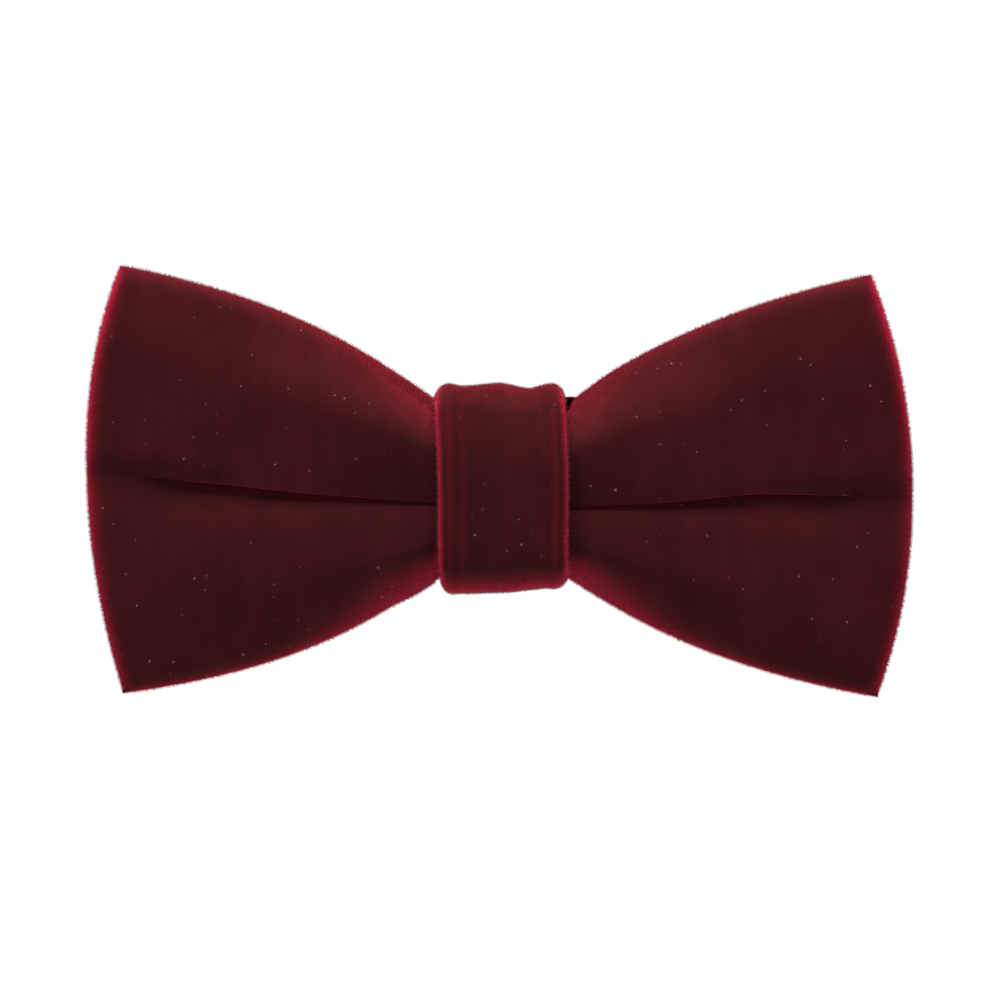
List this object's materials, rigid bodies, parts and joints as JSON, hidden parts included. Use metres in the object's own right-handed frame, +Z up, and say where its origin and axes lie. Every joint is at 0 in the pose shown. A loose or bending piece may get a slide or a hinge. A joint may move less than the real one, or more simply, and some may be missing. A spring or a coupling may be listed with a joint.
{
  "type": "bow tie",
  "caption": "Pre-tied velvet bow with a pleated waist under a band, on a steel clip with a sprung jaw at each end that grips a shirt collar.",
  "frame": {"origin": "on the rear face of the clip's plate, halfway between the jaws, where the shirt collar lies", "axes": "+Z up as worn; -Y out of the bow's front, so +Y towards the wearer; +X to the right of someone who faces the bow"},
  "size_m": [0.1193, 0.0255, 0.0623],
  "materials": {
    "velvet": "short dense pile, matt face, crimson sheen at grazing angles",
    "interlining": "stiff woven canvas",
    "wadding": "soft bonded fibre",
    "thread": "twisted polyester, slight lustre",
    "plate_steel": "nickel plated, satin",
    "pin_steel": "turned and plated",
    "spring_steel": "drawn wire, bright",
    "pad_rubber": "matt moulded"
  },
  "bodies": {
    "bow": {"front_panel": "velvet", "back_panel_left": "velvet", "back_panel_right": "velvet", "interlining": "interlining", "wadding_left": "wadding", "wadding_right": "wadding", "knot_band": "velvet", "knot_lining": "interlining", "waist_binding": "thread", "knot_seam_stitches": "thread", "centre_seam_stitches": "thread", "clip_tack_stitches": "thread", "clip_plate": "plate_steel", "clip_pin_left": "pin_steel", "clip_pin_right": "pin_steel", "clip_spring_left": "spring_steel", "clip_spring_right": "spring_steel"},
    "jaw_left": {"clip_jaw_left": "plate_steel", "jaw_pad_left": "pad_rubber"},
    "jaw_right": {"clip_jaw_right": "plate_steel", "jaw_pad_right": "pad_rubber"}
  },
  "joints": [
    {"name": "jaw_left_hinge", "type": "hinge", "parent": "bow", "child": "jaw_left", "pos_m": [-0.019, 0.0036, 0], "axis": [0, 0, -1], "range_deg": [0, 25], "stiffness_Nm_per_rad": 0.05, "springref_deg": -34.38, "deforming": ["clip_spring_left"]},
    {"name": "jaw_right_hinge", "type": "hinge", "parent": "bow", "child": "jaw_right", "pos_m": [0.019, 0.0036, 0], "axis": [0, 0, 1], "range_deg": [0, 25], "stiffness_Nm_per_rad": 0.05, "springref_deg": -34.38, "deforming": ["clip_spring_right"]}
  ]
}
